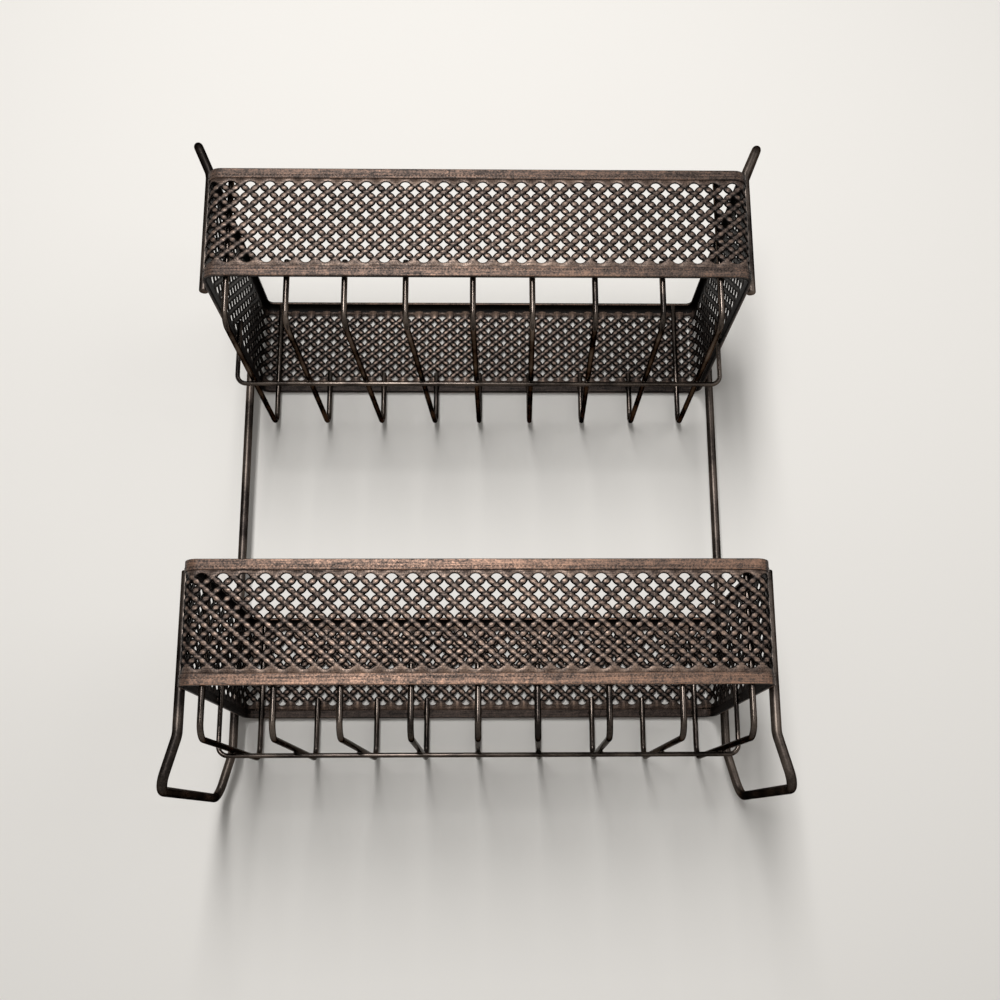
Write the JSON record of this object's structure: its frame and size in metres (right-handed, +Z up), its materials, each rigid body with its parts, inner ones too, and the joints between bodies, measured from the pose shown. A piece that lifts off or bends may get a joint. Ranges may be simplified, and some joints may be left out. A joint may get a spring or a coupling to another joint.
{
  "type": "bath caddy",
  "caption": "Free-standing two-tier bath caddy: rectangular baskets with pressed lattice walls and wire floors, carried by bent wire side frames with feet and handles.",
  "frame": {"origin": "on the floor under the middle of the caddy, at the bottom centre of the box round it", "axes": "+X along the baskets to the right as seen from the front, -Y towards the front, +Z up"},
  "size_m": [0.3638, 0.165, 0.4121],
  "materials": {
    "side_frames": "dark oil-rubbed bronze, satin",
    "rods": "dark oil-rubbed bronze, satin",
    "cross_wires": "dark oil-rubbed bronze, satin",
    "walls": "oil-rubbed bronze with rubbed copper edges, satin"
  },
  "bodies": {
    "root": {"side_frame_left": "side_frames", "side_frame_right": "side_frames", "lower_front_wall": "walls", "lower_back_wall": "walls", "lower_left_wall": "walls", "lower_right_wall": "walls", "lower_rod_1": "rods", "lower_rod_2": "rods", "lower_rod_3": "rods", "lower_rod_4": "rods", "lower_rod_5": "rods", "lower_rod_6": "rods", "lower_rod_7": "rods", "lower_rod_8": "rods", "lower_rod_9": "rods", "lower_cross_wire": "cross_wires", "upper_front_wall": "walls", "upper_back_wall": "walls", "upper_left_wall": "walls", "upper_right_wall": "walls", "upper_rod_1": "rods", "upper_rod_2": "rods", "upper_rod_3": "rods", "upper_rod_4": "rods", "upper_rod_5": "rods", "upper_rod_6": "rods", "upper_rod_7": "rods", "upper_rod_8": "rods", "upper_rod_9": "rods", "upper_cross_wire": "cross_wires"}
  },
  "joints": []
}
